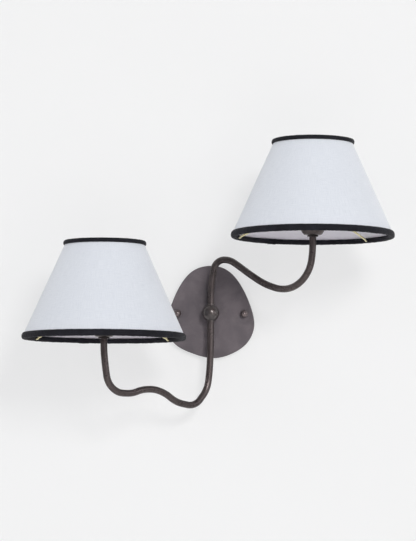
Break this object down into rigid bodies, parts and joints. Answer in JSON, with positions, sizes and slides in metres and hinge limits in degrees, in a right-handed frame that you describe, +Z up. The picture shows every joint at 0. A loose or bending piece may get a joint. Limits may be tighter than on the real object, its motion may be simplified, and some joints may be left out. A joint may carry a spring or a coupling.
{
  "type": "double arm wall sconce",
  "caption": "Wall sconce: a pebble-shaped plate carries a ball with wavy bent-tube arms, each holding a tapered linen shade with dark rolled trim on its own lamp socket.",
  "frame": {"origin": "on the wall plane, behind the centre of the ball, at the middle of the wall bracket's slots", "axes": "+Z up, +X towards the higher shade, +Y into the wall (the object stands out towards -Y)"},
  "size_m": [0.4626, 0.229, 0.3342],
  "materials": {
    "bronze": "satin",
    "zinc_steel": "satin",
    "green_steel": "satin",
    "core_sheath": "matte",
    "phenolic": "matte",
    "brass": "satin",
    "nickel": "satin",
    "lamp_base": "gloss",
    "lamp_glass": "frosted",
    "linen": "matte",
    "liner": "matte",
    "black_tape": "matte"
  },
  "bodies": {
    "wall_unit": {"backplate": "bronze", "wall_bracket": "zinc_steel", "plate_studs": "zinc_steel", "ground_screw": "green_steel", "centre_ball": "bronze", "stem_nipple": "zinc_steel", "stem_collar": "bronze", "stem_washer": "zinc_steel", "stem_nut": "zinc_steel", "upper_arm": "bronze", "lower_arm": "bronze", "upper_cores": "core_sheath", "lower_cores": "core_sheath", "right_check_ring": "bronze", "right_cup": "bronze", "right_cup_nut": "zinc_steel", "right_socket_body": "phenolic", "right_socket_shell": "brass", "right_socket_contact": "brass", "left_check_ring": "bronze", "left_cup": "bronze", "left_cup_nut": "zinc_steel", "left_socket_body": "phenolic", "left_socket_shell": "brass", "left_socket_contact": "brass"},
    "left_knob": {"left_knob": "bronze"},
    "right_knob": {"right_knob": "bronze"},
    "right_shade": {"right_shade_fabric": "linen", "right_shade_liner": "liner", "right_bottom_wire": "brass", "right_top_wire": "brass", "right_spider": "brass", "right_bottom_trim": "black_tape", "right_top_trim": "black_tape"},
    "right_fitter": {"right_fitter_nut": "phenolic"},
    "right_lamp_core": {"right_lamp_contact": "lamp_base"},
    "right_lamp": {"right_lamp_cap": "nickel", "right_lamp_glass": "lamp_glass"},
    "left_shade": {"left_shade_fabric": "linen", "left_shade_liner": "liner", "left_bottom_wire": "brass", "left_top_wire": "brass", "left_spider": "brass", "left_bottom_trim": "black_tape", "left_top_trim": "black_tape"},
    "left_fitter": {"left_fitter_nut": "phenolic"},
    "left_lamp_core": {"left_lamp_contact": "lamp_base"},
    "left_lamp": {"left_lamp_cap": "nickel", "left_lamp_glass": "lamp_glass"}
  },
  "joints": [
    {"name": "right_shade_turn", "type": "hinge", "parent": "wall_unit", "child": "right_shade", "pos_m": [0.1262, -0.127, 0.1262], "axis": [0, 0, 1], "continuous": true},
    {"name": "right_fitter_turn", "type": "hinge", "parent": "wall_unit", "child": "right_fitter", "pos_m": [0.1262, -0.127, 0.1262], "axis": [0, 0, 1], "continuous": true},
    {"name": "right_lamp_rise", "type": "slide", "parent": "wall_unit", "child": "right_lamp_core", "axis": [0, 0, 1], "range_m": [0, 0.0178]},
    {"name": "right_lamp_turn", "type": "hinge", "parent": "right_lamp_core", "child": "right_lamp", "pos_m": [0.1262, -0.127, 0.1262], "axis": [0, 0, 1], "range_deg": [0, 2520]},
    {"name": "right_knob_turn", "type": "hinge", "parent": "wall_unit", "child": "right_knob", "pos_m": [0.043, -0.0126, 0], "axis": [0, -1, 0], "continuous": true},
    {"name": "left_shade_turn", "type": "hinge", "parent": "wall_unit", "child": "left_shade", "pos_m": [-0.1324, -0.127, -0.0021], "axis": [0, 0, 1], "continuous": true},
    {"name": "left_fitter_turn", "type": "hinge", "parent": "wall_unit", "child": "left_fitter", "pos_m": [-0.1324, -0.127, -0.0021], "axis": [0, 0, 1], "continuous": true},
    {"name": "left_lamp_rise", "type": "slide", "parent": "wall_unit", "child": "left_lamp_core", "axis": [0, 0, 1], "range_m": [0, 0.0178]},
    {"name": "left_lamp_turn", "type": "hinge", "parent": "left_lamp_core", "child": "left_lamp", "pos_m": [-0.1324, -0.127, -0.0021], "axis": [0, 0, 1], "range_deg": [0, 2520]},
    {"name": "left_knob_turn", "type": "hinge", "parent": "wall_unit", "child": "left_knob", "pos_m": [-0.043, -0.0126, 0], "axis": [0, -1, 0], "continuous": true}
  ],
  "couplings": [
    {"joint": "right_lamp_rise", "follows": "right_lamp_turn", "m_per_rad": 0.00040425},
    {"joint": "left_lamp_rise", "follows": "left_lamp_turn", "m_per_rad": 0.00040425}
  ]
}
